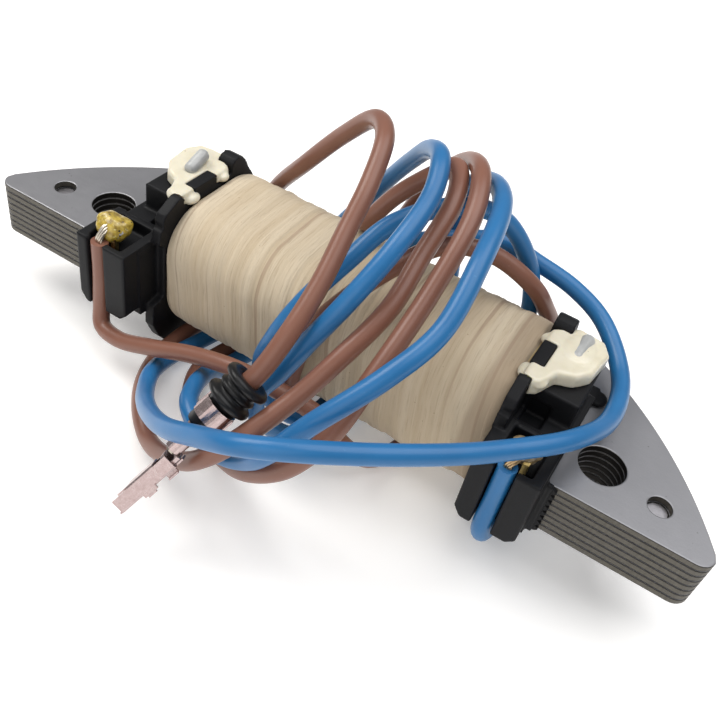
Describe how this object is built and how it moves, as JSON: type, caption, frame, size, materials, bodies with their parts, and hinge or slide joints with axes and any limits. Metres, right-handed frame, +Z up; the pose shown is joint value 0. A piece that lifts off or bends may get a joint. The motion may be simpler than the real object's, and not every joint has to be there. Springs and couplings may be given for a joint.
{
  "type": "ignition coil",
  "caption": "Small engine ignition charging coil: segment-shaped laminated core, taped winding on a black bobbin, and two soldered leads wound round it with crimp terminals.",
  "frame": {"origin": "middle of the coil's own box, without the leads, at the level of the bobbin flange bottoms", "axes": "+X along the straight edge of the core, +Y towards the core's curved edge, +Z up out of the core's top sheet"},
  "size_m": [0.116, 0.0733, 0.0454],
  "materials": {
    "core_steel": "satin",
    "rivet_steel": "satin",
    "black_nylon": "satin",
    "copper_wire": "enamelled",
    "paper": "matt",
    "cotton_tape": "matt",
    "brown_pvc": "soft gloss",
    "blue_pvc": "soft gloss",
    "black_rubber": "satin",
    "tinned_copper": "bright",
    "tinned_brass": "bright",
    "plain_brass": "satin",
    "flux_solder": "glossy",
    "adhesive": "satin",
    "grey_sleeve": "satin"
  },
  "bodies": {
    "root": {"lamination_1": "core_steel", "lamination_2": "core_steel", "lamination_3": "core_steel", "lamination_4": "core_steel", "lamination_5": "core_steel", "lamination_6": "core_steel", "lamination_7": "core_steel", "lamination_8": "core_steel", "core_rivet_left": "rivet_steel", "core_rivet_right": "rivet_steel", "bobbin": "black_nylon", "winding": "copper_wire", "insulating_paper": "paper", "tape_wrap": "cotton_tape", "brown_lead": "brown_pvc", "blue_lead": "blue_pvc", "brown_seal": "black_rubber", "blue_seal": "black_rubber", "brown_bare_end": "tinned_copper", "blue_bare_end": "tinned_copper", "brown_terminal": "tinned_brass", "blue_terminal": "tinned_brass", "brown_stripped_strands": "tinned_copper", "blue_stripped_strands": "tinned_copper", "terminal_pin_left": "plain_brass", "terminal_pin_right": "plain_brass", "solder_joint_left": "flux_solder", "solder_joint_right": "flux_solder", "adhesive_left": "adhesive", "adhesive_right": "adhesive", "wire_post_left": "grey_sleeve", "wire_post_right": "grey_sleeve"}
  },
  "joints": []
}
